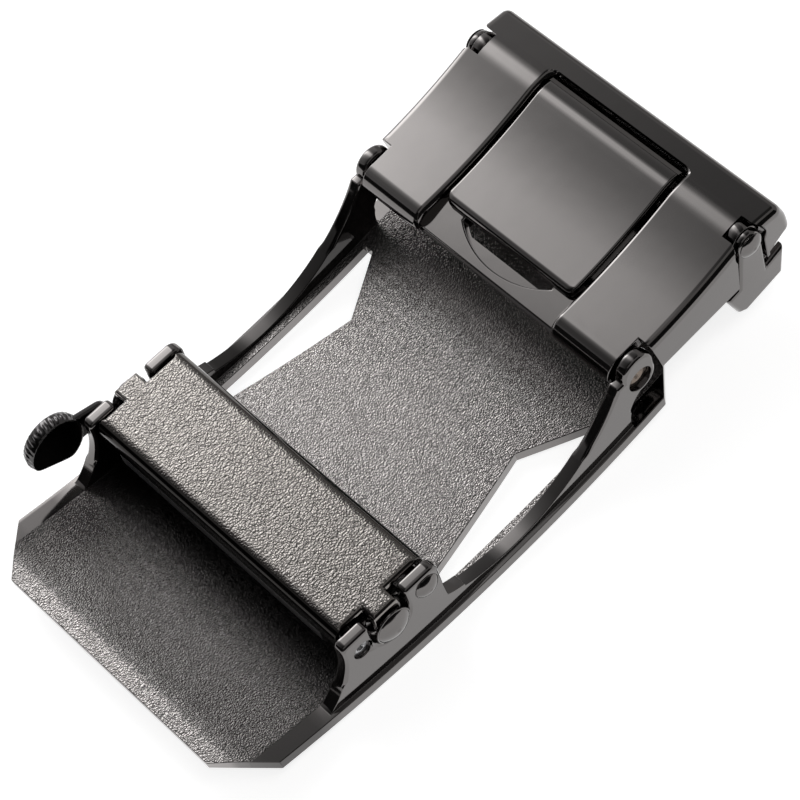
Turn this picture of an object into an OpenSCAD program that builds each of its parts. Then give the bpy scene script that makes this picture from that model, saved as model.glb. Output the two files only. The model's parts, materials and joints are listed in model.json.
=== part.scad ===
// Ratchet belt buckle, seen from the wearer's side: a bowed face plate with two side walls,
// a sprung pawl with a side release lever, and a hinged clamp that grips the fixed end of the strap.
// X runs along the belt from the entry edge, Y across it, Z from the face towards the wearer.

/* [Face plate] */
// Length of the face plate along the belt
plate_l = 63; // [56:0.5:70]
// Width of the face plate
plate_w = 40; // [39:0.5:44]
// Thickness of the face plate
plate_t = 1.4; // [1.2:0.1:1.8]
// Radius of the plate's bow along the belt
bow_r = 147; // [120:1:200]
// Length of the 45 degree cut at each corner
corner_cut = 5; // [3:0.5:7]
// Length of the thinned lip at the entry edge
lip_l = 2; // [1.5:0.5:4]
// Half width of the waisted middle at its narrowest
waist_half = 12.2; // [10:0.1:14]

/* [Side walls] */
// Outer face of each side wall, from the middle
wall_out = 19.5; // [19.3:0.1:19.8]
// Thickness of each side wall
wall_t = 1.5; // [1.3:0.1:1.6]
// Height of the two lobes that carry the pawl
lobe_z = 10.8; // [10.2:0.1:11]
// Radius of the long arch between lobe and hinge lug
arch_r = 20; // [18:0.5:22]

/* [Pawl] */
// Pawl axle, along the belt
axle_x = 21.5; // [21.3:0.1:21.7]
// Pawl axle, height
axle_z = 8; // [7.8:0.1:8.2]
// Radius of the pawl axle
axle_r = 0.9; // [0.8:0.05:1]
// Top of the pawl cover
cover_z = 11.1; // [11:0.1:11.4]
// Thickness of the pawl cover's sheet
cover_t = 0.7; // [0.5:0.1:0.8]
// Height of the ratchet blade's edge
blade_z = 6.5; // [6.4:0.1:6.8]

/* [Release lever] */
// Lever shaft, along the belt
shaft_x = 17.7; // [17.6:0.05:17.8]
// Lever shaft, height
shaft_z = 8.1; // [8:0.05:8.2]
// Radius of the lever's thumb disc
thumb_r = 3.4; // [3:0.1:3.6]
// Thickness of the lever's thumb disc
thumb_t = 1.6; // [1.2:0.1:2]
// Number of grooves around the thumb disc
knurl_count = 30; // [16:1:36]

/* [Strap clamp] */
// Clamp hinge, along the belt
hinge_x = 56.05; // [55.8:0.05:56.3]
// Clamp hinge, height
hinge_z = 9.45; // [9.3:0.05:9.6]
// Tilt of the clamp as stored
clamp_tilt = 11; // [8:0.5:12]
// Width of the clamp casing
casing_w = 39; // [38.6:0.1:39.2]
// Height of the casing's hollowed top above the hinge, at its lowest
top_v = 2.75; // [2.6:0.05:2.9]
// Radius of the hollow along the casing's top
hollow_r = 55; // [45:1:80]
// Half width of the lid
lid_half = 9.1; // [8.5:0.1:9.2]
// Lid axle, from the hinge along the clamp
lid_u = 16.9; // [16.8:0.05:17]
// Lid axle, height above the hinge
lid_v = 1.5; // [1.45:0.05:1.55]
// Depth of the strap tray below the hinge
tray_v = 8; // [7.8:0.1:8.4]

/* [Hidden] */
$fn = 72;
eps = 0.02;
wall_in = wall_out - wall_t;
mid_x = plate_l / 2;
cover_half = 17.7;
cover_x0 = 16.1;
cover_x1 = 27.9;
cover_bend = 1.4;
flange_z = 8.5;
ear_half = 1.55;
notch_r = 2.4;
anchor_x = 26.4;
anchor_z = 8.75;
anchor_r = 0.6;
journal_r = 1.04;
journal_bore = 1.1;
hub_r = 1.3;
lever_gap = 0.5;
thumb_x = 12.35;
thumb_z = 9.1;
pin_r = 0.8;
lug_r = 2.1;
lug_rise = 1.45;
lug_bore = 1;
lug_bore_r = 1.5;
casing_half = casing_w / 2;
skirt_t = 1.3;
sheet_t = 1.3;
window_half = lid_half + 0.4;
near_u = -2.4;
far_u = 22;
hollow_u = 8.2;
rim_v = top_v + 0.7;
bend_u = 17.2;
near_r = 2;
window_far = 19.1;
panel_v = 1.75;
panel_end = 3.6;
recess_depth = 1;
recess_far = 0.35;
lug_gap_u = 2.6;
lug_gap_y = 17.8;
tray_t = 0.9;
collar_r = 1.75;
lid_near = 1.65;
lid_axle_r = 0.85;
barrel_r = 1.5;
bite_v = -2.2;

// ---- helpers ----

// Stands a drawing of x and z upright and gives it width from y0 to y1.
module across(y0, y1) {
    translate([0, y1, 0])
        rotate([90, 0, 0])
            linear_extrude(y1 - y0)
                children();
}

// A round bar along Y.
module bar(x, z, r, y0, y1) {
    translate([x, y0, z])
        rotate([-90, 0, 0])
            cylinder(r = r, h = y1 - y0, $fn = r > 50 ? 720 : $fn);
}

// A cone or dished end along Y.
module taper(x, z, r0, r1, y0, y1) {
    translate([x, y0, z])
        rotate([-90, 0, 0])
            cylinder(r1 = r0, r2 = r1, h = y1 - y0);
}

// A domed rivet head whose flat side lies at y0, bulging towards +Y.
module dome(x, z, r, h, y0) {
    ball_r = (r * r + h * h) / (2 * h);
    translate([x, y0, z])
        rotate([-90, 0, 0])
            intersection() {
                translate([0, 0, h - ball_r]) sphere(r = ball_r);
                cylinder(r = r + eps, h = h + eps);
            }
}

// Draws its children on both sides of the belt.
module both_sides() {
    children();
    mirror([0, 1, 0]) children();
}

// Moves from the clamp's own axes (hinge at the origin) to the part's.
module in_clamp() {
    translate([hinge_x, 0, hinge_z])
        rotate([0, -clamp_tilt, 0])
            children();
}

// Waste that leaves a convex corner of radius r at x, z; sx and sz point out of the corner.
module corner_waste(x, z, r, sx, sz) {
    difference() {
        translate([x - (sx > 0 ? r : 0.1), z - (sz > 0 ? r : 0.1)]) square(r + 0.1);
        translate([x - sx * r, z - sz * r]) circle(r = r);
    }
}

// ---- face plate ----

module plate_outline() {
    half = plate_w / 2;
    polygon([
        [corner_cut, half], [0, half - corner_cut], [0, corner_cut - half], [corner_cut, -half],
        [plate_l - corner_cut, -half], [plate_l, corner_cut - half],
        [plate_l, half - corner_cut], [plate_l - corner_cut, half]
    ]);
}

module side_cutout() {
    polygon([[29.4, 15.4], [44.2, waist_half], [51.2, 16.1], [51.2, 17.1], [29.4, 17.1]]);
    translate([29.4, 16.25]) circle(r = 0.85);
}

module bowed_sheet() {
    intersection() {
        difference() {
            bar(mid_x, bow_r, bow_r, -plate_w, plate_w);
            bar(mid_x, bow_r, bow_r - plate_t, -plate_w - 1, plate_w + 1);
        }
        translate([0, 0, -1]) linear_extrude(12) plate_outline();
    }
}

// The back of the entry edge falls away so that the belt slides in.
module lip_waste() {
    lip_z = bow_r - sqrt(pow(bow_r - plate_t, 2) - pow(mid_x - lip_l, 2));
    across(-plate_w, plate_w)
        translate([-1, lip_z]) square([lip_l + 1, 4]);
}

module lobes() {
    difference() {
        translate([10.2, 0]) square([18.05, lobe_z]);
        translate([7.65, 9.3]) circle(r = 7.85);
        translate([0, 9.3]) square([15.5, 4]);
        corner_waste(15.5, lobe_z, 0.8, -1, 1);
        corner_waste(28.25, lobe_z, 1.2, 1, 1);
        corner_waste(axle_x - notch_r, lobe_z, 0.5, 1, 1);
        corner_waste(axle_x + notch_r, lobe_z, 0.5, -1, 1);
        translate([axle_x, axle_z]) circle(r = notch_r);
        translate([axle_x - notch_r, axle_z]) square([2 * notch_r, 6]);
    }
}

module arched_rail() {
    difference() {
        translate([28, 0]) square([hinge_x - 28, hinge_z + lug_rise]);
        translate([36.5, 1.95 + arch_r]) circle(r = arch_r);
        translate([57.7, 4]) circle(r = 3.8);
        translate([53.9, -1]) square([8, 5]);
    }
    difference() {
        translate([28, 2]) square([2.4, 4]);
        translate([30.25, 5.6]) circle(r = 2);
        translate([28.25, 5.6]) square([4, 1]);
        translate([36.5, 1.95 + arch_r]) circle(r = arch_r - 0.35);
    }
    translate([hinge_x, hinge_z]) circle(r = lug_r);
    translate([hinge_x, hinge_z + lug_rise]) circle(r = lug_r);
    translate([hinge_x - lug_r, hinge_z]) square([2 * lug_r, lug_rise]);
}

module side_wall() {
    intersection() {
        across(wall_in, wall_out) {
            lobes();
            arched_rail();
        }
        bar(mid_x, bow_r, bow_r - plate_t / 2, 0, plate_w);
    }
    difference() {
        bar(axle_x, axle_z, 3.1, wall_in - 1.2, wall_in + 0.2);
        translate([axle_x - 4, 0, axle_z + 1.6]) cube([8, plate_w, 4]);
        bar(axle_x, axle_z, notch_r, wall_in, plate_w);
    }
}

module face_plate() {
    color([0.27, 0.26, 0.26])
        difference() {
            union() {
                difference() {
                    bowed_sheet();
                    both_sides() translate([0, 0, -1]) linear_extrude(8) side_cutout();
                    lip_waste();
                }
                both_sides() side_wall();
            }
            bar(axle_x, axle_z, axle_r, -plate_w, plate_w);
            bar(anchor_x, anchor_z, anchor_r, -plate_w, plate_w);
            bar(shaft_x, shaft_z, journal_bore, -plate_w, plate_w);
            bar(hinge_x, hinge_z, pin_r, -plate_w, plate_w);
            both_sides() bar(hinge_x, hinge_z, lug_bore_r, wall_out - lug_bore, plate_w);
        }
}

// ---- pawl ----

module cover_profile() {
    difference() {
        translate([cover_x0, flange_z]) square([cover_x1 - cover_x0, cover_z - flange_z]);
        translate([cover_x0 + cover_t, flange_z - 1])
            square([cover_x1 - cover_x0 - 2 * cover_t, cover_z - cover_t - flange_z + 1]);
        corner_waste(cover_x0, cover_z, cover_bend, -1, 1);
        corner_waste(cover_x1, cover_z, cover_bend, 1, 1);
    }
}

// One ear: the sheet runs out over the wall's notch and turns down beside the axle.
module cover_ear() {
    ear_out = wall_out - 0.1;
    translate([axle_x - ear_half, cover_half - 1, cover_z - cover_t])
        cube([2 * ear_half, ear_out - cover_half + 1, cover_t]);
    across(ear_out - cover_t, ear_out) {
        translate([axle_x - ear_half, axle_z]) square([2 * ear_half, cover_z - axle_z]);
        translate([axle_x, axle_z]) circle(r = ear_half);
    }
}

module pawl_cover() {
    color([0.55, 0.53, 0.5])
        difference() {
            union() {
                across(-cover_half, cover_half) cover_profile();
                both_sides() cover_ear();
            }
            bar(axle_x, axle_z, axle_r + 0.06, -plate_w, plate_w);
        }
}

module pawl_blade() {
    color([0.4, 0.4, 0.42])
        across(-15, 15)
            polygon([
                [cover_x0 + 0.05, flange_z], [cover_x0 + 0.05, blade_z],
                [cover_x0 + 0.25, blade_z], [cover_x0 + cover_t, blade_z + 0.8],
                [cover_x0 + cover_t, flange_z]
            ]);
}

module pawl_axle() {
    color([0.3, 0.29, 0.29]) {
        bar(axle_x, axle_z, axle_r, -wall_out - 0.4, wall_out + 0.4);
        both_sides() dome(axle_x, axle_z, 2.05, 0.75, wall_out + 0.35);
    }
}

module pawl_axle_washers() {
    color([0.33, 0.32, 0.32])
        both_sides()
            difference() {
                bar(axle_x, axle_z, 2.15, wall_out + 0.02, wall_out + 0.35);
                bar(axle_x, axle_z, axle_r, wall_out - 1, wall_out + 1);
            }
}

// A torsion spring on the axle: one leg under the cover, one on the anchor bar.
module torsion_spring(y0) {
    wire = 0.4;
    coil_in = axle_r + 0.1;
    coil_len = 5 * wire;
    top = coil_in + wire / 2;
    color([0.6, 0.6, 0.6]) {
        difference() {
            bar(axle_x, axle_z, coil_in + wire, y0, y0 + coil_len);
            bar(axle_x, axle_z, coil_in, y0 - 1, y0 + coil_len + 1);
        }
        spring_leg(y0, wire, [25.4, 10.1], top);
        spring_leg(y0 + coil_len - wire, wire, [27, anchor_z + anchor_r + wire / 2 + 0.03], top);
    }
}

// A straight leg of square wire from the top of the coil to the point end.
module spring_leg(y0, wire, end, top) {
    across(y0, y0 + wire)
        polygon([
            [axle_x + 0.2, axle_z + top - wire / 2], end - [0, wire / 2],
            end + [0, wire / 2], [axle_x + 0.2, axle_z + top + wire / 2]
        ]);
}

module pawl_spring_left() {
    torsion_spring(8);
}

module pawl_spring_right() {
    mirror([0, 1, 0]) torsion_spring(8);
}

module anchor_bar() {
    color([0.3, 0.29, 0.29]) {
        bar(anchor_x, anchor_z, anchor_r, -wall_out - 0.1, wall_out + 0.1);
        both_sides() dome(anchor_x, anchor_z, 1.5, 0.7, wall_out);
    }
}

// ---- release lever ----

// A cam nose that lifts the cover when the lever is pressed.
module cam_nose(y0) {
    nose_r = 0.45;
    nose_l = 2.2;
    across(y0, y0 + 1.2)
        translate([shaft_x, shaft_z])
            rotate(48) {
                circle(r = 0.75);
                polygon([[0, -0.73], [nose_l, -nose_r], [nose_l, nose_r], [0, 0.73]]);
                translate([nose_l, 0]) circle(r = nose_r);
            }
}

module cam_shaft() {
    color([0.45, 0.45, 0.47])
        difference() {
            union() {
                bar(shaft_x, shaft_z, 0.75, -wall_in, wall_in);
                bar(shaft_x, shaft_z, journal_r, wall_in - 0.15, wall_out + lever_gap);
                bar(shaft_x, shaft_z, journal_r, -wall_out + 0.4, -wall_in + 0.15);
                cam_nose(12.5);
                cam_nose(-13.7);
            }
            taper(shaft_x, shaft_z, 0.7, 0.2, -wall_out, -wall_out + 0.8);
        }
}

module thumb_profile() {
    difference() {
        translate([thumb_x, thumb_z]) circle(r = thumb_r);
        for (i = [0 : knurl_count - 1])
            translate([thumb_x, thumb_z])
                rotate(i * 360 / knurl_count)
                    translate([thumb_r + 0.08, 0]) circle(r = 0.2, $fn = 16);
        translate([thumb_x, thumb_z])
            rotate(-118.8)
                translate([2.4, -8]) square([8, 16]);
    }
}

module release_lever() {
    disc_y = wall_out + lever_gap;
    color([0.2, 0.2, 0.2])
        difference() {
            union() {
                across(disc_y, disc_y + thumb_t) thumb_profile();
                across(disc_y, disc_y + 0.9) {
                    translate([shaft_x, shaft_z]) circle(r = hub_r);
                    polygon([
                        [shaft_x, shaft_z - hub_r], [shaft_x, shaft_z + hub_r],
                        [thumb_x + 1.8, thumb_z + 1.9], [thumb_x + 2, thumb_z - 2.1]
                    ]);
                }
                bar(shaft_x, shaft_z, hub_r, wall_out + 0.25, disc_y + 0.5);
            }
            bar(shaft_x, shaft_z, journal_r, wall_out - 1, wall_out + lever_gap);
        }
}

// ---- clamp hinge ----

// A short pin with a dished head that sits at the bottom of the lug's counterbore.
module hinge_pin() {
    head_in = wall_out - lug_bore;
    head_out = head_in + 0.35;
    color([0.42, 0.33, 0.27])
        difference() {
            union() {
                bar(hinge_x, hinge_z, pin_r, 16.3, head_in + 0.1);
                bar(hinge_x, hinge_z, lug_bore_r - 0.1, head_in, head_out);
            }
            taper(hinge_x, hinge_z, 0.3, 1, head_in - 0.05, head_out + 0.05);
        }
}

module hinge_pin_left() {
    hinge_pin();
}

module hinge_pin_right() {
    mirror([0, 1, 0]) hinge_pin();
}

module hinge_washers() {
    color([0.5, 0.45, 0.4])
        both_sides()
            difference() {
                bar(hinge_x, hinge_z, 1.6, lug_gap_y - 0.05, wall_in - 0.03);
                bar(hinge_x, hinge_z, pin_r + 0.06, 10, 25);
            }
}

// ---- strap clamp, drawn about its own hinge ----

// Everything above the long hollow of the casing's and the lid's tops.
module above_hollow() {
    translate([hollow_u, top_v + hollow_r]) circle(r = hollow_r, $fn = 720);
}

// Side view of the whole casing before it is hollowed.
module casing_profile() {
    difference() {
        polygon([
            [near_u, 1], [near_u, rim_v], [bend_u - 1.2, rim_v], [bend_u + 1, rim_v - 0.3],
            [far_u - 0.4, top_v - 0.6],
            [far_u, -0.3], [far_u - 0.2, -2.7], [18.35, -2.7], [18.35, -3.3],
            [lug_gap_u, -3.3], [lug_gap_u, 1]
        ]);
        above_hollow();
        corner_waste(near_u, rim_v, near_r, -1, 1);
        polygon([[lug_gap_u - 1, -1.8], [13.8, -3.3], [lug_gap_u - 1, -4]]);
        corner_waste(far_u - 0.15, -2.7, 1.2, 1, -1);
    }
}

module casing_hollow() {
    sheet_v = top_v - sheet_t;
    polygon([
        [near_u - 1, sheet_v], [bend_u, sheet_v], [far_u - 1.5, sheet_v - 0.65],
        [far_u - 1.5, -5], [near_u - 1, -5]
    ]);
}

// Ribs beside the window and an inward flange along the far skirt.
module casing_ribs() {
    both_sides()
        across(window_half + 0.1, window_half + 0.9)
            translate([panel_end + 0.1, 0]) square([15.2, 2]);
    across(skirt_t - casing_half, casing_half - skirt_t)
        translate([18.6, -2.7]) square([2.4, 1.3]);
}

module casing_shell() {
    difference() {
        across(-casing_half, casing_half) casing_profile();
        across(skirt_t - casing_half, casing_half - skirt_t) casing_hollow();
        translate([panel_end, -window_half, -5]) cube([window_far - panel_end, 2 * window_half, 12]);
        translate([near_u - 1, -window_half, panel_v]) cube([panel_end + 4, 2 * window_half, 5]);
        both_sides() {
            translate([near_u - 1, lug_gap_y, -5]) cube([lug_gap_u - near_u + 1, 5, 12]);
            bar(lid_u, lid_v, 2.15, 17.3, casing_half + 1);
            across(casing_half - skirt_t - 0.1, casing_half + 1)
                polygon([[13.3, -5], [17.6, -5], [lid_u + 1.8, lid_v], [lid_u - 1.85, lid_v]]);
        }
    }
}

// The crescent under the lid's near edge: a shelf, then an opening for the fingertip.
module finger_recess() {
    intersection() {
        translate([9.75, 0, -1]) cylinder(r = 10.6, h = 6);
        union() {
            translate([-2, -6.4, panel_v - recess_depth]) cube([8, 12.8, 5]);
            translate([recess_far, -6.4, -1]) cube([8, 12.8, 6]);
        }
    }
}

module sunken_panel() {
    difference() {
        translate([near_u + 0.4, -window_half - 0.5, panel_v - recess_depth - 0.5])
            cube([panel_end - near_u - 0.4, 2 * window_half + 1, recess_depth + 0.5]);
        finger_recess();
    }
}

module hinge_ears() {
    both_sides()
        across(lug_gap_y - 1.3, lug_gap_y - 0.1) {
            circle(r = 2.1);
            translate([-2.1, 0]) square([4.2, top_v - 0.5]);
        }
}

module clamp_casing() {
    color([0.42, 0.41, 0.4])
        in_clamp()
            difference() {
                union() {
                    casing_shell();
                    casing_ribs();
                    sunken_panel();
                    hinge_ears();
                }
                bar(0, 0, pin_r + 0.06, -plate_w, plate_w);
                bar(lid_u, lid_v, lid_axle_r, -plate_w, plate_w);
            }
}

// Side view of one flank of the tray, with the ear that hangs it on the lid axle.
module tray_flank() {
    polygon([
        [11.8, -3.5], [12.4, 0.8 - tray_v], [13.2, -tray_v], [18.7, -tray_v], [20.1, -4.2],
        [17.45, -4.45], [lid_u + 1.6, lid_v], [lid_u - 1.6, lid_v], [13.55, -3.5]
    ]);
    translate([lid_u, lid_v]) circle(r = 1.6);
}

module strap_tray() {
    flank_in = casing_half - tray_t;
    color([0.45, 0.43, 0.43])
        in_clamp() {
            across(-casing_half, casing_half)
                polygon([
                    [12.55, tray_t - tray_v], [12.5, 0.7 - tray_v], [13.2, -tray_v],
                    [18.7, -tray_v], [18.9, tray_t - tray_v]
                ]);
            both_sides()
                difference() {
                    across(flank_in, casing_half) tray_flank();
                    bar(lid_u, lid_v, lid_axle_r, 0, plate_w);
                }
        }
}

module lid_axle() {
    color([0.3, 0.29, 0.29])
        in_clamp() {
            bar(lid_u, lid_v, lid_axle_r, -casing_half - 0.1, casing_half + 0.1);
            both_sides() dome(lid_u, lid_v, 1.5, 0.6, casing_half);
        }
}

module lid_axle_collars() {
    color([0.3, 0.29, 0.29])
        in_clamp()
            both_sides()
                difference() {
                    bar(lid_u, lid_v, collar_r, 17.4, casing_half - tray_t);
                    bar(lid_u, lid_v, lid_axle_r, 10, 25);
                }
}

module lid_profile() {
    translate([lid_u, lid_v]) circle(r = barrel_r);
    difference() {
        translate([lid_near, top_v - 0.7]) square([lid_u + 0.4 - lid_near, rim_v + 0.7 - top_v]);
        above_hollow();
        corner_waste(lid_near, rim_v - 0.3, 0.3, -1, 1);
        corner_waste(lid_u + 0.4, rim_v, 0.6, 1, 1);
    }
    polygon([
        [lid_u - 1.4, lid_v], [lid_u - 1.9, bite_v + 1], [lid_u + 0.7, bite_v + 1], [lid_u + 1.2, lid_v]
    ]);
}

module clamp_lid() {
    color([0.5, 0.48, 0.46])
        in_clamp()
            difference() {
                union() {
                    across(-lid_half, lid_half) lid_profile();
                    both_sides()
                        across(lid_half - 0.8, lid_half)
                            translate([panel_end + 0.4, 0]) square([11.2, 2.2]);
                }
                bar(lid_u, lid_v, lid_axle_r + 0.06, -plate_w, plate_w);
            }
}

// Toothed steel strip under the lid's cam.
module bite_plate() {
    pitch = 0.8;
    tooth_h = 0.6;
    root_v = bite_v + tooth_h;
    color([0.55, 0.55, 0.57])
        in_clamp()
            across(-8.6, 8.6)
                translate([lid_u - 1.8, root_v])
                    polygon([
                        [3 * pitch, 0.4], [0, 0.4],
                        for (i = [0 : 2]) each [[i * pitch, 0], [(i + 0.7) * pitch, -tooth_h]],
                        [3 * pitch, 0]
                    ]);
}

module bite_rivets() {
    color([0.6, 0.6, 0.6])
        in_clamp()
            both_sides()
                translate([lid_u - 0.6, 5, bite_v + 0.7]) cylinder(r = 0.35, h = 1.4);
}

face_plate();
pawl_cover();
pawl_blade();
pawl_axle();
pawl_axle_washers();
pawl_spring_left();
pawl_spring_right();
anchor_bar();
cam_shaft();
release_lever();
hinge_pin_left();
hinge_pin_right();
hinge_washers();
clamp_casing();
strap_tray();
lid_axle();
lid_axle_collars();
clamp_lid();
bite_plate();
bite_rivets();
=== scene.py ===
"""Looks of the ratchet belt buckle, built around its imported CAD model.

The buckle lies on its face on a pale floor and is seen from the wearer's side. The CAD nodes keep
their shapes and get rounded edges from modifiers. Pieces that CAD only stands in for are replaced.
"""

import json
import math

import bmesh
import bpy
from mathutils import Matrix, Vector


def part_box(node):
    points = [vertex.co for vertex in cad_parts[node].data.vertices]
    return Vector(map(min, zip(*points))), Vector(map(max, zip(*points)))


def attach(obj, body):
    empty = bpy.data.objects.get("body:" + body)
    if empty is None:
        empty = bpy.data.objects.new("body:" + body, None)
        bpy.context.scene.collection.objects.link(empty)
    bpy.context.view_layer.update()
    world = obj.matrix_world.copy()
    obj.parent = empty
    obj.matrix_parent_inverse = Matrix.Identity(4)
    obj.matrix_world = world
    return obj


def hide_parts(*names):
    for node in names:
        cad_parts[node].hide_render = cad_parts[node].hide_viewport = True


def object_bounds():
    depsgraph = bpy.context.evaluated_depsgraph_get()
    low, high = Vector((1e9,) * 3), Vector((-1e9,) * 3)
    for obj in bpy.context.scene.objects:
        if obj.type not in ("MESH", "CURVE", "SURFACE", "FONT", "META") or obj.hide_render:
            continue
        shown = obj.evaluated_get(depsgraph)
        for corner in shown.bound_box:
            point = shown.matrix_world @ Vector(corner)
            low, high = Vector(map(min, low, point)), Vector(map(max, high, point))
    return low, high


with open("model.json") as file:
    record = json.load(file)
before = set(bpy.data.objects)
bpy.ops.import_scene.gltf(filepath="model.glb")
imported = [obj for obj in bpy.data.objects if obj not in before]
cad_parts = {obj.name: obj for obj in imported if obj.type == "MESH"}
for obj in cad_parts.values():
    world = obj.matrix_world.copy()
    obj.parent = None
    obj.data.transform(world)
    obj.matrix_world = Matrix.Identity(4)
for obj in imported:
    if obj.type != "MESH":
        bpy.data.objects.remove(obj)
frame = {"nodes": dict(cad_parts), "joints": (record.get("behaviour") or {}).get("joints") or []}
cad_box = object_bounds()
scene = bpy.context.scene

MM = 0.001


# ---- places, in millimetres ----

joints = {joint["name"]: joint for joint in frame["joints"]}
LEVER_SHAFT = Vector(joints["lever_press"]["pos_m"]) / MM
PAWL_AXLE = Vector(joints["pawl_lift"]["pos_m"]) / MM
HINGE = Vector(joints["clamp_tilt"]["pos_m"]) / MM
LID_AXLE = Vector(joints["lid_open"]["pos_m"]) / MM
ANCHOR_X, ANCHOR_Z = 26.4, 8.75
# Both faces of each side wall, measured from the middle.
WALL_IN, WALL_OUT = 18.0, 19.5
# The walls rise above this height, the rest of the face plate stays below it.
FLOOR_TOP = 5.2
# Points closer than this are merged.
WELD = 0.002


# ---- material parts ----


def new_material(name, base, roughness, metallic=1):
    """A material, which is plating unless metallic is 0, and its shader."""
    material = bpy.data.materials.new(name)
    material.use_nodes = True
    shader = material.node_tree.nodes["Principled BSDF"]
    shader.inputs["Base Color"].default_value = (*base, 1)
    shader.inputs["Metallic"].default_value = metallic
    shader.inputs["Roughness"].default_value = roughness
    return material, shader


def add_node(material, kind, **values):
    """A shader node whose inputs are set by name."""
    node = material.node_tree.nodes.new(kind)
    for key, value in values.items():
        if hasattr(node, key):
            setattr(node, key, value)
        else:
            node.inputs[key].default_value = value
    return node


def link(material, source, target):
    material.node_tree.links.new(source, target)


def object_place(material):
    """Position on the piece, which stays with it as it moves."""
    return add_node(material, "ShaderNodeTexCoord").outputs["Object"]


def noise(material, size, detail=2.0):
    """Soft cloudy variation with features about that size in metres."""
    node = add_node(material, "ShaderNodeTexNoise", Scale=1 / size, Detail=detail)
    link(material, object_place(material), node.inputs["Vector"])
    return node.outputs["Fac"]


def spread(material, value, low, high, from_low=0.0, from_high=1.0):
    """Maps a value onto low to high."""
    node = add_node(material, "ShaderNodeMapRange")
    node.inputs["From Min"].default_value = from_low
    node.inputs["From Max"].default_value = from_high
    node.inputs["To Min"].default_value = low
    node.inputs["To Max"].default_value = high
    link(material, value, node.inputs["Value"])
    return node.outputs["Result"]


def combine(material, operation, a, b):
    node = add_node(material, "ShaderNodeMath", operation=operation)
    for socket, value in zip(node.inputs, (a, b)):
        if isinstance(value, (int, float)):
            socket.default_value = value
        else:
            link(material, value, socket)
    return node.outputs["Value"]


def bump(material, shader, height, depth):
    """Feeds a height, in metres, into the shader's normal."""
    node = add_node(material, "ShaderNodeBump", Strength=1.0, Distance=depth)
    link(material, height, node.inputs["Height"])
    link(material, node.outputs["Normal"], shader.inputs["Normal"])


def grain(material, size):
    """The height of a fine cast grain, with bumps about half that size across."""
    return noise(material, size, 0.6)


def profile(material, value, stops):
    """A smooth brightness curve: stops are (place in metres, brightness)."""
    lowest, highest = stops[0][0], stops[-1][0]
    peak = max(level for _, level in stops)
    share = spread(material, value, 0, 1, lowest, highest)
    ramp = add_node(material, "ShaderNodeValToRGB")
    link(material, share, ramp.inputs["Fac"])
    colours = ramp.color_ramp
    colours.interpolation = "LINEAR"
    while len(colours.elements) < len(stops):
        colours.elements.new(0.5)
    for element, (place, level) in zip(colours.elements, stops):
        element.position = (place - lowest) / (highest - lowest)
        element.color = (level / peak, level / peak, level / peak, 1)
    return combine(material, "MULTIPLY", ramp.outputs["Color"], peak)


def facing_up(material, least):
    """1 where the surface faces up more than that, measured by its normal's Z."""
    facing = add_node(material, "ShaderNodeNewGeometry")
    normal = add_node(material, "ShaderNodeSeparateXYZ")
    link(material, facing.outputs["Normal"], normal.inputs["Vector"])
    return combine(material, "GREATER_THAN", normal.outputs["Z"], least)


def tinted(material, shader, base, shine):
    """Sets the shader's colour to base times shine."""
    colour = add_node(material, "ShaderNodeMix", data_type="RGBA", clamp_factor=False)
    link(material, shine, colour.inputs["Factor"])
    colour.inputs["A"].default_value = (0, 0, 0, 1)
    colour.inputs["B"].default_value = (*base, 1)
    link(material, colour.outputs["Result"], shader.inputs["Base Color"])


# ---- materials ----


def polished(name, base, roughness=0.07):
    """Polished plating with a slight orange peel and handling marks."""
    material, shader = new_material(name, base, roughness)
    marks = noise(material, 1.6 * MM, 4.0)
    link(material, spread(material, marks, roughness * 0.6, roughness * 1.9), shader.inputs["Roughness"])
    orange_peel = noise(material, 2.5 * MM, 1.0)
    bump(material, shader, orange_peel, 0.006 * MM)
    return material


# Painted shade on the cover's plating along X: its colour is darker on both folds.
COVER_PAINTED_SHADE = [(0.0161, 0.1), (0.0166, 0.13), (0.0177, 1.0), (0.0266, 1.0), (0.0276, 0.35), (0.0279, 0.3)]


def grained(name, base, size, depth, roughness=0.16):
    """Fine grain on the faces that lie flat, polish on the folded ones."""
    material, shader = new_material(name, base, roughness)
    mask = facing_up(material, 0.9)
    height = combine(material, "MULTIPLY", grain(material, size), mask)
    link(material, spread(material, mask, 0.1, roughness), shader.inputs["Roughness"])
    bump(material, shader, height, depth)
    xyz = add_node(material, "ShaderNodeSeparateXYZ")
    link(material, object_place(material), xyz.inputs["Vector"])
    # Painted shade: the colour of both folds is darkened along X.
    tinted(material, shader, base, profile(material, xyz.outputs["X"], COVER_PAINTED_SHADE))
    return material


# Size and depth of the grain on the plate's floor, in metres.
PLATE_GRAIN, PLATE_GRAIN_DEPTH = 0.15 * MM, 0.1 * MM
# Painted light and shade in the plate's colour along X: painted highlight on the lip and middle floor,
# painted shade from the entry to under the pawl and near the clamp.
PLATE_PAINTED_LIGHT_AND_SHADE = [
    (0.0, 2.2), (0.0015, 2.0), (0.0021, 1.1), (0.0035, 0.8), (0.009, 0.8), (0.011, 0.6), (0.0135, 0.34),
    (0.016, 0.15), (0.0285, 0.2), (0.0295, 1.5), (0.031, 1.7), (0.04, 1.7), (0.048, 1.3), (0.051, 0.8),
]
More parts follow.
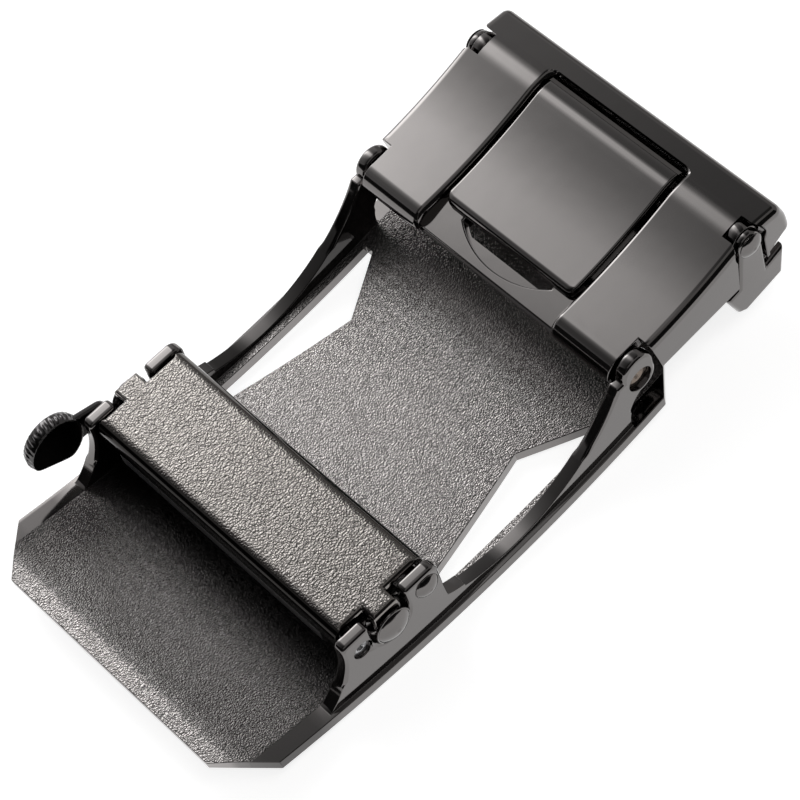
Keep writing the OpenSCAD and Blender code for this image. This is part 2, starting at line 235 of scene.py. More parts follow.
# Painted shade on the plate: across the belt, then along it. The first is beside the lever's wall
# # at the entry, the second is that wall's rail, the third is the ledge at the other wall's foot.
PAINTED_SHADE_PLACES = [
    (
        [(0.011, 0), (0.016, 0.35), (0.018, 0.62), (0.0196, 0.62), (0.0198, 0)],
        [(0.0, 0.5), (0.004, 1), (0.009, 1), (0.0115, 0)],
    ),
    ([(0.0178, 0), (0.018, 0.7), (0.0196, 0.7)], [(0.028, 0), (0.031, 1), (0.05, 1), (0.053, 0)]),
    ([(-0.0202, 0.5), (-0.018, 0.5), (-0.0178, 0)], [(0.001, 0), (0.005, 1), (0.01, 1), (0.013, 0)]),
]


def plate_material(base):
    """The face plate: grain on the floor between the walls, polish everywhere else, and painted light and
    shade in its colour.
    """
    material, shader = new_material("plate_gunmetal", base, 0.1)
    place = object_place(material)
    xyz = add_node(material, "ShaderNodeSeparateXYZ")
    link(material, place, xyz.inputs["Vector"])
    side = combine(material, "ABSOLUTE", xyz.outputs["Y"], 0.0)
    inside = combine(material, "LESS_THAN", side, WALL_IN * MM)
    mask = combine(material, "MULTIPLY", inside, facing_up(material, 0.8))
    height = combine(material, "MULTIPLY", grain(material, PLATE_GRAIN), mask)
    link(material, spread(material, mask, 0.08, 0.14), shader.inputs["Roughness"])
    bump(material, shader, height, PLATE_GRAIN_DEPTH)
    # Painted light and shade along X, applied between the walls only.
    painted_light_and_shade = profile(material, xyz.outputs["X"], PLATE_PAINTED_LIGHT_AND_SHADE)
    extra = combine(material, "MULTIPLY", inside, combine(material, "SUBTRACT", painted_light_and_shade, 1.0))
    shine = combine(material, "ADD", extra, 1.0)
    # Painted shade: each place darkens the plate's colour.
    for across, along in PAINTED_SHADE_PLACES:
        across_share = profile(material, xyz.outputs["Y"], across)
        along_share = profile(material, xyz.outputs["X"], along)
        painted_shade = combine(material, "MULTIPLY", across_share, along_share)
        shine = combine(material, "MULTIPLY", shine, combine(material, "SUBTRACT", 1.0, painted_shade))
    tinted(material, shader, base, shine)
    return material


def brushed(name, base, roughness=0.28):
    """Plain steel with fine lines from drawing or grinding."""
    material, shader = new_material(name, base, roughness)
    stretch = add_node(material, "ShaderNodeMapping")
    link(material, object_place(material), stretch.inputs["Vector"])
    stretch.inputs["Scale"].default_value = (1, 0.05, 1)
    lines = add_node(material, "ShaderNodeTexNoise", Scale=1 / (0.08 * MM), Detail=3.0)
    link(material, stretch.outputs["Vector"], lines.inputs["Vector"])
    shine = spread(material, lines.outputs["Fac"], roughness * 0.7, roughness * 1.4)
    link(material, shine, shader.inputs["Roughness"])
    bump(material, shader, lines.outputs["Fac"], 0.004 * MM)
    return material


GUNMETAL = (0.155, 0.147, 0.144)
gunmetal = polished("gunmetal", GUNMETAL)
black_nickel = polished("black_nickel", (0.085, 0.082, 0.082), 0.09)
cover_grain = grained("grained_gunmetal", (0.22, 0.206, 0.195), 0.19 * MM, 0.085 * MM)
plate_finish = plate_material(GUNMETAL)
steel = brushed("bare_steel", (0.42, 0.42, 0.43))
wire_steel = brushed("spring_steel", (0.5, 0.5, 0.5), 0.2)
bronzed = polished("bronzed_steel", (0.2, 0.165, 0.14), 0.25)

# The CAD nodes shown as they are that aren't gunmetal.
NODE_MATERIAL = {
    "pawl_blade": steel,
    "cam_shaft": steel,
    "hinge_pin_left": bronzed,
    "hinge_pin_right": bronzed,
    "hinge_washers": bronzed,
    "bite_plate": steel,
    "bite_rivets": steel,
}


# ---- mesh tools ----


def arc_points(centre, radius, start, end, steps):
    """Points along an arc, angles in degrees."""
    angles = [math.radians(start + (end - start) * i / steps) for i in range(steps + 1)]
    return [(centre[0] + radius * math.cos(a), centre[1] + radius * math.sin(a)) for a in angles]


def rounded_outline(corners, step=5):
    """A closed outline from corners (x, z, radius), with an arc at each corner that has a radius."""
    points = []
    for i, (x, z, radius) in enumerate(corners):
        here = Vector((x, z))
        before = Vector(corners[i - 1][:2]) - here
        after = Vector(corners[(i + 1) % len(corners)][:2]) - here
        opening = before.angle(after)
        if radius == 0 or math.pi - opening < 0.01:
            points.append((x, z))
            continue
        before.normalize()
        after.normalize()
        centre = here + (before + after).normalized() * radius / math.sin(opening / 2)
        reach = radius / math.tan(opening / 2)
        first, last = here + before * reach - centre, here + after * reach - centre
        # One step for each so many degrees, and more on a large arc.
        steps = max(2, round(math.degrees(math.pi - opening) / step), min(24, round(reach * 6)))
        start = math.atan2(first.y, first.x)
        sweep = (math.atan2(last.y, last.x) - start + math.pi) % (2 * math.pi) - math.pi
        for k in range(steps + 1):
            angle = start + sweep * k / steps
            points.append((centre.x + radius * math.cos(angle), centre.y + radius * math.sin(angle)))
    return points


def prism(outline, y0, y1):
    """A bmesh solid: an outline of x and z, given width from y0 to y1."""
    bm = bmesh.new()
    near = [bm.verts.new((x, y0, z)) for x, z in outline]
    far = [bm.verts.new((x, y1, z)) for x, z in outline]
    bm.faces.new(near)
    bm.faces.new(list(reversed(far)))
    for i in range(len(outline)):
        k = (i + 1) % len(outline)
        bm.faces.new((near[i], far[i], far[k], near[k]))
    bmesh.ops.recalc_face_normals(bm, faces=bm.faces)
    return bm


def upright(outline, z0, z1):
    """A bmesh solid: an outline of x and y, given height from z0 to z1."""
    bm = prism(outline, z0, z1)
    for vert in bm.verts:
        vert.co = (vert.co.x, vert.co.z, vert.co.y)
    bm.normal_update()
    bmesh.ops.recalc_face_normals(bm, faces=bm.faces)
    return bm


def rod(x, z, radius, y0, y1, steps=48):
    """A round bar along Y."""
    return prism(arc_points((x, z), radius, 0, 360 - 360 / steps, steps - 1), y0, y1)


def round_edges(bm, width, segments=3, where=None, sharp=30):
    """Rounds the sharp edges whose middle passes the test."""
    chosen = []
    for edge in bm.edges:
        if len(edge.link_faces) != 2 or edge.calc_face_angle(0) < math.radians(sharp):
            continue
        if where is None or where((edge.verts[0].co + edge.verts[1].co) / 2):
            chosen.append(edge)
    bmesh.ops.bevel(
        bm, geom=chosen, offset=width, segments=segments, affect="EDGES", profile=0.5, clamp_overlap=False
    )
    return bm


def skin(bm, loops):
    """Joins each loop of points to the next, closes both ends, and returns the last end's face."""
    for low, high in zip(loops, loops[1:]):
        for i in range(len(low)):
            k = (i + 1) % len(low)
            bm.faces.new((low[i], low[k], high[k], high[i]))
    bm.faces.new(loops[0])
    return bm.faces.new(list(reversed(loops[-1])))


def inset_directions(outline):
    """For each outline point, the step that moves both of its sides inwards by one."""
    count = len(outline)
    area = sum(
        outline[i][0] * outline[(i + 1) % count][1] - outline[(i + 1) % count][0] * outline[i][1]
        for i in range(count)
    )
    turn = 1 if area > 0 else -1
    steps = []
    for i, here in enumerate(outline):
        before = (Vector(here) - Vector(outline[i - 1])).normalized()
        after = (Vector(outline[(i + 1) % count]) - Vector(here)).normalized()
        inwards = Vector((-before.y - after.y, before.x + after.x)) * turn
        steps.append(inwards * 2 / max(inwards.length_squared, 1.2))
    return steps


def rolled_prism(outline, half, radius, rolls, corner=0.0, rings=7):
    """A prism across the belt whose rims roll over with that radius where rolls(u, v) is 1.

    The near corners can be rounded in plan as well.
    """
    steps = inset_directions(outline)
    near = min(u for u, _ in outline)
    fade_length = 2.5
    slices = [(radius * (1 - math.sin(a)), radius * (1 - math.cos(a)))
              for a in (math.pi / 2 * (1 - i / rings) for i in range(rings + 1))]
    while slices[-1][0] < corner:
        slices.append((min(corner, slices[-1][0] + corner / rings), 0))
    sides = [(t - half, inset) for t, inset in slices]
    sides += [(half - t, inset) for t, inset in reversed(slices)]
    bm = bmesh.new()
    loops = []
    for y, inset in sides:
        missing = max(0.0, corner - (half - abs(y)))
        cut_back = corner - math.sqrt(max(corner * corner - missing * missing, 0))
        loop = []
        for (u, v), step in zip(outline, steps):
            move = step * inset * rolls(u, v)
            fade = max(0.0, 1 - (u - near) / fade_length)
            loop.append(bm.verts.new((u + move.x + cut_back * fade, y, v + move.y)))
        loops.append(loop)
    skin(bm, loops)
    bmesh.ops.recalc_face_normals(bm, faces=bm.faces)
    return bm


def mirrored(bm):
    """The same solid on the other side of the belt, in a new bmesh."""
    other = bm.copy()
    bmesh.ops.scale(other, vec=(1, -1, 1), verts=other.verts)
    bmesh.ops.reverse_faces(other, faces=other.faces)
    return other


def joined(*parts):
    """Several solids in one bmesh."""
    whole = bmesh.new()
    for part in parts:
        mesh = bpy.data.meshes.new("part")
        part.to_mesh(mesh)
        part.free()
        whole.from_mesh(mesh)
        bpy.data.meshes.remove(mesh)
    return whole


def as_object(bm, name):
    mesh = bpy.data.meshes.new(name)
    bm.to_mesh(mesh)
    bm.free()
    made = bpy.data.objects.new(name, mesh)
    scene.collection.objects.link(made)
    return made


def solved(bm, operation, *tools):
    """bm with solid tools cut from it or added to it."""
    target = as_object(bm, "target")
    helpers = [as_object(tool, "tool") for tool in tools]
    for helper in helpers:
        step = target.modifiers.new("step", "BOOLEAN")
        step.operation = operation
        step.solver = "EXACT"
        step.object = helper
    bpy.context.view_layer.update()
    result = bmesh.new()
    result.from_object(target, bpy.context.evaluated_depsgraph_get())
    for used in (target, *helpers):
        bpy.data.objects.remove(used)
    bmesh.ops.remove_doubles(result, verts=result.verts, dist=WELD)
    bmesh.ops.dissolve_limit(
        result, angle_limit=math.radians(0.2), verts=result.verts, edges=result.edges
    )
    return result


def from_cad(*names):
    """CAD nodes as one bmesh in millimetres, with flat faces whole again."""
    bm = bmesh.new()
    for name in names:
        bm.from_mesh(frame["nodes"][name].data)
    bmesh.ops.scale(bm, vec=(1 / MM, 1 / MM, 1 / MM), verts=bm.verts)
    bmesh.ops.remove_doubles(bm, verts=bm.verts, dist=WELD)
    bmesh.ops.dissolve_limit(bm, angle_limit=math.radians(0.3), verts=bm.verts, edges=bm.edges)
    return bm


# Edges that turn by more than this stay crisp in the shading.
CRISP_ANGLE = math.radians(48)


def finish_piece(bm, name, body, material, nodes, place=None):
    """Turns millimetres into a smooth piece in the row frame that stands for CAD nodes."""
    bmesh.ops.transform(bm, matrix=(place or Matrix.Identity(4)), verts=bm.verts)
    bmesh.ops.scale(bm, vec=(MM, MM, MM), verts=bm.verts)
    bmesh.ops.recalc_face_normals(bm, faces=bm.faces)
    for face in bm.faces:
        face.smooth = True
    for edge in bm.edges:
        edge.smooth = edge.calc_face_angle(0) < CRISP_ANGLE
    piece = as_object(bm, name)
    piece.data.materials.append(material)
    normals = piece.modifiers.new("normals", "WEIGHTED_NORMAL")
    normals.mode = "FACE_AREA"
    normals.weight = 60
    normals.keep_sharp = True
    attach(piece, body)
    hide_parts(*nodes)
    return piece


# ---- places on the clamp: u along it and v up, in millimetres from the hinge ----

CLAMP_TILT = math.radians(11)
clamp_place = Matrix.Translation(HINGE) @ Matrix.Rotation(-CLAMP_TILT, 4, "Y")
lid_at = clamp_place.inverted() @ LID_AXLE
LID_U, LID_V = lid_at.x, lid_at.z

CASING_HALF = 19.5
SHEET = 1.2
# The top is a hollow arc: its lowest point and radius, then where it starts and ends.
HOLLOW_U, HOLLOW_V, HOLLOW_R = 8.2, 2.75, 55
HOLLOW_START, HOLLOW_END = 0.2, 15.2
# Beyond the hollow the top bends down to its far edge.
BEND_U, BEND_R = 17.2, 8
FAR_U, FAR_R, FAR_SLOPE = 21.6, 1.05, -0.3
# The near face, and how far the top's corner there stands above the hollow's start.
NEAR_U, NEAR_R, NEAR_RISE = -2.4, 2.0, 0.378
WINDOW_HALF = 9.5
WINDOW_FAR = 19.1
PANEL_V = 1.75
# The gap beside each wing for the wall: its far end, and its side towards the middle.
LUG_GAP = (2.6, 17.8)


def hollow(u):
    """Height of the clamp's top, hollowed between its near edge and its bend."""
    return HOLLOW_V + (u - HOLLOW_U) ** 2 / (2 * HOLLOW_R)


def hollow_points(start, end, drop=0.0):
    """Outline points (u, v, 0) along the hollow top, or along its underside."""
    count = max(2, round((end - start) / 1.1))
    us = [start + (end - start) * i / count for i in range(count + 1)]
    return [(u, hollow(u) - drop, 0) for u in us]


def bend_point():
    """Where the hollow top, carried on straight from its end, reaches the bend."""
    slope = (HOLLOW_END - HOLLOW_U) / HOLLOW_R
    return BEND_U, hollow(HOLLOW_END) + slope * (BEND_U - HOLLOW_END)


def casing_top():
    """The casing's top outline from its near face to its far edge."""
    near = [(NEAR_U, 0.9, 0.2), (NEAR_U, hollow(HOLLOW_START) + NEAR_RISE, NEAR_R)]
    bend_u, bend_v = bend_point()
    far = (FAR_U, bend_v + FAR_SLOPE * (FAR_U - bend_u), FAR_R)
    return [*near, *hollow_points(HOLLOW_START, HOLLOW_END), (bend_u, bend_v, BEND_R), far]


def clamp_casing():
    """The pressed casing: rolled near edge, hollowed top, bend, and rounded corners."""
    far = [(22, -0.3, 6), (21.8, -2.7, 1.05)]
    bottom = [(18.35, -2.7, 0), (18.35, -3.3, 0), (13.8, -3.3, 0), (2.6, -1.95, 0), (2.6, 0.9, 0)]
    outline = rounded_outline([*casing_top(), *far, *bottom])
    shell = rolled_prism(outline, CASING_HALF, 0.95, lambda u, v: 1 if v > 1.2 or u > 19 else 0)
    inside = [
        (NEAR_U - 2, HOLLOW_V - SHEET, 0),
        (10.6, HOLLOW_V - SHEET, 0),
        (16.5, HOLLOW_V - SHEET + 0.5, 0),
        (20.5, 1.1, 0.5),
        (20.5, -6, 0),
        (NEAR_U - 2, -6, 0),
    ]
    hollow_out = prism(rounded_outline(inside), SHEET - CASING_HALF, CASING_HALF - SHEET)
    gap_u, gap_y = LUG_GAP
    beyond = CASING_HALF + 2.5
    lug_gap = prism([(NEAR_U - 2, -6), (gap_u, -6), (gap_u, 6), (NEAR_U - 2, 6)], gap_y, beyond)
    head_gap = rod(LID_U, LID_V, 2.2, 17.3, beyond)
    ear_gap = prism(
        [(13.3, -5), (17.6, -5), (LID_U + 1.85, LID_V), (LID_U - 1.9, LID_V)], 18, beyond
    )
    cutters = [hollow_out, window_cutter()]
    for gap in (lug_gap, head_gap, ear_gap):
        cutters += [mirrored(gap), gap]
    shell = solved(shell, "DIFFERENCE", *cutters)
    round_edges(shell, 0.12, 2, lambda m: m.z < 1 or m.x < LUG_GAP[0] + 0.2, sharp=50)
    flange = prism(
        rounded_outline([(18.6, -2.7, 0.1), (21, -2.7, 0), (21, -1.4, 0), (18.6, -1.4, 0.3)]), -18.4, 18.4
    )
    rib = prism([(3.7, 0), (18.9, 0), (18.9, 1.9), (3.7, 1.8)], WINDOW_HALF + 0.1, WINDOW_HALF + 0.9)
    whole = joined(shell, sunken_panel(), flange, mirrored(rib), rib, *hinge_ears())
    finish_piece(
        whole, "casing", "clamp", gunmetal, ["clamp_casing"], clamp_place
    )


def window_cutter():
    """Cuts the window and rolls its rim over, following the curve of the top."""
    roll, steepest = 0.85, 78
    corner = 1.0
    lift = roll / math.sin(math.radians(steepest))
    # Each ring: its height, how far it flares out, and whether the height is from the top.
    rings = [(-6, 0, False)]
    rings += [
        (lift * math.sin(math.radians(a)) - roll, lift * (1 - math.cos(math.radians(a))), True)
        for a in range(0, steepest + 1, 13)
    ]
    rings += [(0.3, rings[-1][1] + 1.4, True), (3, rings[-1][1] + 1.4, True)]
    top = [(NEAR_U, 1.5)]
    for u, v in rounded_outline(casing_top()):
        if v > 1.5 and u > top[-1][0] + 0.05:
            top.append((u, v))

    def height(u):
        for (u0, v0), (u1, v1) in zip(top, top[1:]):
            if u <= u1:
                return v0 + (v1 - v0) * max(0.0, (u - u0) / (u1 - u0))
        return top[-1][1]

    side_us = [NEAR_U - 2] + [u for u, _ in top if u < WINDOW_FAR - corner - 0.1]
    bm = bmesh.new()
    loops = []
    for rise, flare, on_top in rings:
        half = WINDOW_HALF + flare
        far = WINDOW_FAR + flare * 0.35
        right = [(u, -half) for u in [*side_us, far - corner]]
        corner_right = arc_points((far - corner, corner - half), corner, -90, 0, 6)
        end = [(far, corner - half + i * (half - corner) / 3) for i in range(1, 6)]
        ring = right + corner_right[1:] + end
        ring += [(u, -y) for u, y in reversed(right + corner_right[1:])]
        loops.append([bm.verts.new((u, y, height(u) + rise if on_top else rise)) for u, y in ring])
    last_end = skin(bm, loops)
    bmesh.ops.triangulate(bm, faces=[last_end])
    bmesh.ops.recalc_face_normals(bm, faces=bm.faces)
    return bm


def sunken_panel():
    """The step between the wings, with the finger recess and a folded near edge."""
    half = WINDOW_HALF + 0.4
    outline = rounded_outline(
        [
            (NEAR_U + 0.4, PANEL_V - 1.5, 0.2),
            (NEAR_U + 0.4, PANEL_V - 0.5, 0),
            (NEAR_U + 0.6, PANEL_V - 0.45, 0),
            (NEAR_U + 0.6, PANEL_V, 0.15),
            (3.6, PANEL_V, 0),
            (3.6, PANEL_V - 1.5, 0),
        ]
    )
    panel = prism(outline, -half, half)
    middle = (9.75, 0)
    rim = arc_points(middle, 10.6, 142.9, 217.1, 32)
    recess = upright([*rim, (5, -6.4), (5, 6.4)], PANEL_V - 1, PANEL_V + 1)
    panel = solved(panel, "DIFFERENCE", recess)
    round_edges(panel, 0.2, 4, lambda m: m.x > -1.2 and m.z > PANEL_V - 0.05 and abs(m.y) < 7, sharp=50)
    ends = [arc_points(middle, 10.3, start, start + 7.7, 6) for start in (144.5, 207.8)]
    opening = upright([*ends[0], *ends[1], (5, -5.9), (5, 5.9)], PANEL_V - 3, PANEL_V + 2)
    return solved(panel, "DIFFERENCE", opening)


def hinge_ears():
    """Two ears under the wings that the hinge pins pass through."""
    outline = rounded_outline([(-2.1, 2.1, 0), (-2.1, -2.1, 2), (2.1, -2.1, 2), (2.1, 2.1, 0)])
    ear = solved(
        prism(outline, LUG_GAP[1] - 1.3, LUG_GAP[1] - 0.1), "DIFFERENCE", rod(0, 0, 0.88, 10, 22)
    )
    round_edges(ear, 0.1, 2, sharp=50)
    return mirrored(ear), ear


def clamp_lid():
    """The flip-up lid: the same hollow curve as the casing's top, rolled round its axle."""
    near, thick = 1.65, 1.2
    outline = rounded_outline(
        [
            (near, hollow(near) - thick, 0),
            (near, hollow(near), 0.9),
            *hollow_points(near + 1, HOLLOW_END),
            (*bend_point(), 4),
            (18.6, 2.6, 1.2),
            (18.3, -0.6, 1.2),
            (17.6, -1.2, 0.1),
            (15, -1.2, 0.1),
            (15.3, hollow(15.3) - thick, 0.6),
            *reversed(hollow_points(near + 1, 14.2, thick)),
        ]
    )
    lid = rolled_prism(outline, 9.1, 0.3, lambda u, v: 1 if v > 1.9 or u > 17.9 else 0, corner=0.9)
    lid = solved(lid, "DIFFERENCE", rod(LID_U, LID_V, 0.91, -12, 12))
    flange = prism([(4, 0), (15.2, 0), (15.2, 2.4), (4, 2.2)], 8.3, 9.02)
    lid = joined(lid, mirrored(flange), flange)
    finish_piece(lid, "lid", "lid", gunmetal, ["clamp_lid"], clamp_place)


# ---- the other pieces ----


def face_plate():
    """The casting: softly rounded wall tops, crisper plate edges."""
    bm = from_cad("face_plate")
    round_edges(bm, 0.45, 6, lambda m: m.z > FLOOR_TOP and on_wall_rim(m) and not near_bore(m))
    round_edges(bm, 0.1, 2, sharp=40)
    finish_piece(bm, "plate", "frame", plate_finish, ["face_plate"])


def on_wall_rim(point):
    """True on the long rims of the side walls, not on the edges that cross them."""
    return min(abs(abs(point.y) - face) for face in (WALL_IN, WALL_OUT)) < 0.05


def near_bore(point):
    """True on the rims of the axle, shaft and pin holes."""
    bores = [
        (LEVER_SHAFT.x, LEVER_SHAFT.z, 1.2),
        (PAWL_AXLE.x, PAWL_AXLE.z, 1.0),
        (HINGE.x, HINGE.z, 1.6),
        (ANCHOR_X, ANCHOR_Z, 0.7),
    ]
    return any(math.hypot(point.x - x, point.z - z) < r + 0.05 for x, z, r in bores)


def pawl_cover():
    """The cover, with its ears rolled over at the ends."""
    bm = from_cad("pawl_cover")
    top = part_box("pawl_cover")[1].z / MM
    round_edges(bm, 0.6, 6, lambda m: m.z > top - 0.05 and abs(m.y) > 17.6, sharp=50)
    round_edges(bm, 0.12, 3, sharp=35)
    finish_piece(bm, "cover", "pawl", cover_grain, ["pawl_cover"])


def strap_tray():
    """The stirrup under the casing, with softly rounded sides."""
    bm = from_cad("strap_tray")
    round_edges(bm, 0.5, 5, lambda m: abs(m.y) > CASING_HALF - 0.05, sharp=35)
    round_edges(bm, 0.12, 2, sharp=35)
    finish_piece(bm, "tray", "clamp", gunmetal, ["strap_tray"])


def release_lever():
    """A thumb disc with a flat side and a knurled, barrelled rim, on a neck and hub."""
    low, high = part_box("release_lever")
    radius, thick = 3.4, 1.75
    centre_x, centre_z = low.x / MM + radius, 9.1
    inner_y = high.y / MM - thick
    knurls = 34
    steps = knurls * 8
    flat_side, flat_reach = math.radians(-118.8), 2.5
    bm = bmesh.new()
    loops = []
    sections = [(0.0, -0.35), (0.03, -0.12)] + [
        (0.05 + 0.9 * i / 8, 0.14 * math.sin(math.pi * i / 8) - 0.06) for i in range(9)
    ]
    sections += [(0.98, -0.16), (1.0, -0.45)]
    for share, bulge in sections:
        loop = []
        for i in range(steps):
            angle = 2 * math.pi * i / steps
            limit = flat_reach / max(math.cos(angle - flat_side), 0.001)
            # The round rim or the flat side, whichever is nearer, blended where they meet.
            base = -math.log(math.exp(-4 * radius) + math.exp(-4 * min(limit, 20))) / 4
            grip = max(0.0, min(1.0, (limit - radius) / 0.8)) * math.sin(math.pi * share)
            twist = angle * knurls + (share - 0.5) * 5
            ridge = 0.09 * grip * math.cos(twist) * (0.6 + 0.4 * math.cos(share * 12.6))
            r = base - 0.1 + bulge + ridge
            x, z = centre_x + r * math.cos(angle), centre_z + r * math.sin(angle)
            loop.append(bm.verts.new((x, inner_y + share * thick, z)))
        loops.append(loop)
    skin(bm, loops)
    bmesh.ops.recalc_face_normals(bm, faces=bm.faces)
    neck = prism(
        rounded_outline(
            [
                (LEVER_SHAFT.x + 1.3, LEVER_SHAFT.z - 1.3, 1.25),
                (LEVER_SHAFT.x + 1.3, LEVER_SHAFT.z + 1.3, 1.25),
                (centre_x + 1.7, centre_z + 1.9, 0.5),
                (centre_x + 1.9, centre_z - 2.0, 0.5),
            ]
        ),
        inner_y + 0.15,
        inner_y + 1.0,
    )
    round_edges(neck, 0.3, 3, sharp=50)
    hub = rod(LEVER_SHAFT.x, LEVER_SHAFT.z, 1.28, WALL_OUT + 0.25, inner_y + 0.5)
    round_edges(hub, 0.15, 3, sharp=50)
    whole = joined(bm, neck, hub)
    finish_piece(whole, "thumb_lever", "lever", black_nickel, ["release_lever"])


def spring(side, node, name):
    """A wound torsion spring with one leg under the cover and one on the anchor bar."""
    wire, turns, start_y, radius = 0.4, 5, 8.2, 1.2
    path = [(25.4, start_y, 10.1)]
    steps = 24
    for i in range(turns * steps + 1):
        angle = math.pi / 2 + 2 * math.pi * i / steps
        y = start_y + wire * 0.95 * i / steps * (turns - 1) / turns
        x, z = PAWL_AXLE.x + radius * math.cos(angle), PAWL_AXLE.z + radius * math.sin(angle)
        path.append((x, y, z))
    path.append((27.0, path[-1][1], 9.58))
    data = bpy.data.curves.new(name, "CURVE")
    data.dimensions = "3D"
    data.bevel_depth = wire / 2 * MM
    data.bevel_resolution = 4
    data.use_fill_caps = True
    line = data.splines.new("POLY")
    line.points.add(len(path) - 1)
    for point, (x, y, z) in zip(line.points, path):
        point.co = (x * MM, side * y * MM, z * MM, 1)
    piece = bpy.data.objects.new(name, data)
    data.materials.append(wire_steel)
    scene.collection.objects.link(piece)
    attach(piece, "frame")
    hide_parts(node)


def finish_cad(name, rounding):
    """Gives a CAD node its material and rounds its edges with modifiers."""
    node = frame["nodes"][name]
    node.data.materials.clear()
    node.data.materials.append(NODE_MATERIAL.get(name, gunmetal))
    for polygon in node.data.polygons:
        polygon.use_smooth = True
    weld = node.modifiers.new("weld", "WELD")
    weld.merge_threshold = WELD * MM
    merge = node.modifiers.new("merge_flats", "DECIMATE")
    merge.decimate_type = "DISSOLVE"
    merge.angle_limit = math.radians(0.3)
    edges = node.modifiers.new("round_edges", "BEVEL")
    edges.width = rounding
    edges.segments = 2
    edges.limit_method = "ANGLE"
    edges.angle_limit = math.radians(32)
    edges.harden_normals = True


clamp_casing()
clamp_lid()
face_plate()
pawl_cover()
strap_tray()
release_lever()
spring(1, "pawl_spring_left", "spring_left")
spring(-1, "pawl_spring_right", "spring_right")
for node_name, node in frame["nodes"].items():
    if not node.hide_render:
        finish_cad(node_name, 0.05 * MM)


# ---- floor, light and camera ----


def flat_sheet(name, across, up, centre, material):
    """A flat piece that reaches as far as across and up to either side of its centre."""
    corners = [across * x + up * y for x, y in ((-1, -1), (1, -1), (1, 1), (-1, 1))]
    mesh = bpy.data.meshes.new(name)
    mesh.from_pydata([tuple(corner) for corner in corners], [], [(0, 1, 2, 3)])
    mesh.materials.append(material)
    sheet = bpy.data.objects.new(name, mesh)
    sheet.location = centre
    scene.collection.objects.link(sheet)
    return sheet


def add_floor():
    """Pale paper just under the buckle, which also glows a little."""
    half = 1.5
    paper, shader = new_material("paper", (0.5, 0.5, 0.5), 0.9, 0)
    shader.inputs["Emission Color"].default_value = (1, 1, 1, 1)
    shader.inputs["Emission Strength"].default_value = 0.8
    below = Vector((0, 0, cad_box[0].z - 0.02 * MM))
    floor = flat_sheet("floor", Vector((half, 0, 0)), Vector((0, half, 0)), below, paper)


# Brightness of the light wall sideways (along X) and outwards, by place in metres from its middle.
WALL_ACROSS = [
    (-0.2, 0.06), (-0.1, 0.1), (-0.05, 0.2), (-0.025, 0.3), (-0.012, 0.385), (0.001, 0.55),
    (0.014, 0.75), (0.027, 0.96), (0.036, 1.0), (0.07, 1.0), (0.082, 0.7), (0.095, 0.35),
    (0.12, 0.13), (0.18, 0.11),
]
WALL_UP = [(-0.09, 0.5), (-0.045, 1.4), (-0.02, 1.9), (0.005, 3.0), (0.03, 4.5), (0.1, 6.0)]


def add_light_wall():
    """A large soft source behind the buckle, brighter outwards, which the camera doesn't see."""
    facing = Vector((0, 0.55, 0.835)).normalized()
    sideways_half = Vector((0.3, 0, 0))
    distance = 0.26
    centre = (cad_box[0] + cad_box[1]) / 2 + facing * distance
    glow = bpy.data.materials.new("light_wall")
    glow.use_nodes = True
    glow.node_tree.nodes.clear()
    xyz = add_node(glow, "ShaderNodeSeparateXYZ")
    link(glow, object_place(glow), xyz.inputs["Vector"])
    sideways = profile(glow, xyz.outputs["X"], WALL_ACROSS)
    outward = profile(glow, xyz.outputs["Y"], WALL_UP)
    emission = add_node(glow, "ShaderNodeEmission")
    link(glow, combine(glow, "MULTIPLY", sideways, outward), emission.inputs["Strength"])
    output = add_node(glow, "ShaderNodeOutputMaterial")
    link(glow, emission.outputs["Emission"], output.inputs["Surface"])
    wall = flat_sheet("light_wall", sideways_half, facing.cross(sideways_half), centre, glow)
    wall.visible_camera = False


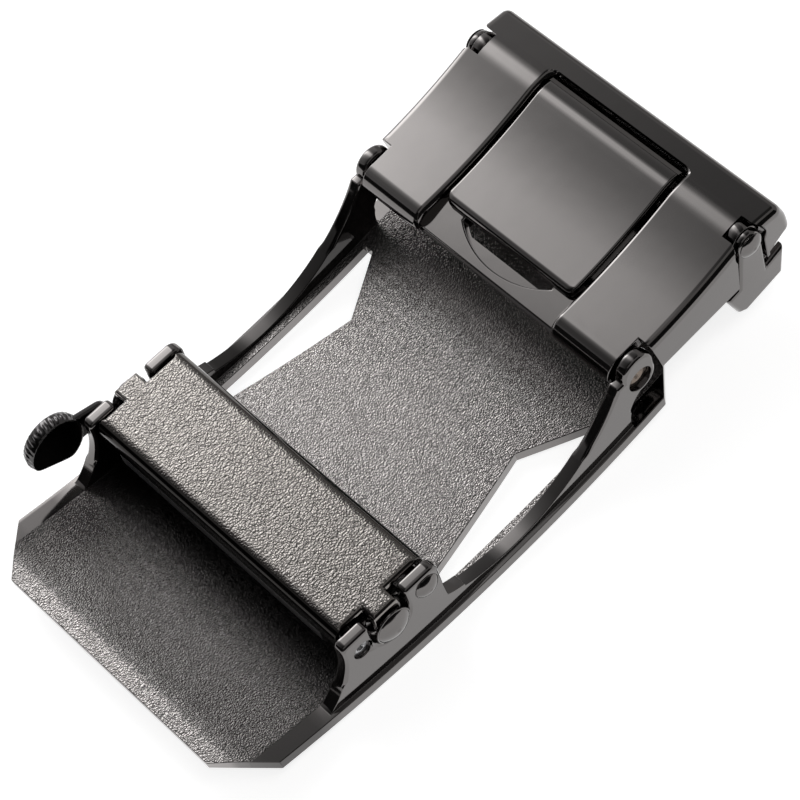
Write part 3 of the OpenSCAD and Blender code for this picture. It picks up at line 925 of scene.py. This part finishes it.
def add_floor_light():
    """An overhead light for the paper alone, so that the buckle's reflections stay as they are."""
    light = bpy.data.lights.new("paper_light", "AREA")
    light.size = 0.9
    light.energy = 7
    lamp = bpy.data.objects.new("paper_light", light)
    lamp.location = (0.03, 0, 0.8)
    lamp.visible_glossy = False
    scene.collection.objects.link(lamp)


def add_black_card(name, centre, facing, half):
    """A dark card beside the set for the buckle's edges to reflect, which the camera doesn't see."""
    up_half = 0.29
    black, _ = new_material(name, (0.01, 0.01, 0.01), 1, 0)
    card = flat_sheet(name, Vector((half, 0, 0)), Vector((0, up_half, 0)), centre, black)
    card.rotation_euler = Vector(facing).to_track_quat("Z", "Y").to_euler()
    card.visible_camera = False


def add_world(colour):
    """Even light from all round."""
    world = bpy.data.worlds.new("studio")
    world.use_nodes = True
    world.node_tree.nodes["Background"].inputs["Color"].default_value = (*colour, 1)
    world.node_tree.nodes["Background"].inputs["Strength"].default_value = 1
    scene.world = world


def add_camera():
    """The wearer's view, a long lens from above the entry side."""
    azimuth, elevation, roll = (math.radians(a) for a in (-117.08, 58.07, -19.29))
    target = Vector((41.46, 2.34, 0)) * MM
    distance = 344.6 * MM
    back = Vector(
        (
            math.cos(azimuth) * math.cos(elevation),
            math.sin(azimuth) * math.cos(elevation),
            math.sin(elevation),
        )
    )
    level = (-back).cross(Vector((0, 0, 1))).normalized()
    rise = level.cross(-back)
    right = level * math.cos(roll) + rise * math.sin(roll)
    up = rise * math.cos(roll) - level * math.sin(roll)
    data = bpy.data.cameras.new("camera")
    data.sensor_width = 36
    data.lens = 151.5
    data.clip_start = 0.01
    camera = bpy.data.objects.new("camera", data)
    turn = Matrix((right, up, back)).transposed().to_4x4()
    camera.matrix_world = Matrix.Translation(target + back * distance) @ turn
    scene.collection.objects.link(camera)
    scene.camera = camera


add_floor()
add_world((0.34, 0.335, 0.33))
add_light_wall()
add_floor_light()
add_black_card("black_card_right", (0.03, -0.5, 0.32), (0, 1, 0), 0.6)
add_black_card("black_card_near", (-0.5, 0.1, 0.32), (1, 0, 0), 0.5)
add_camera()
scene.view_settings.view_transform = "Standard"
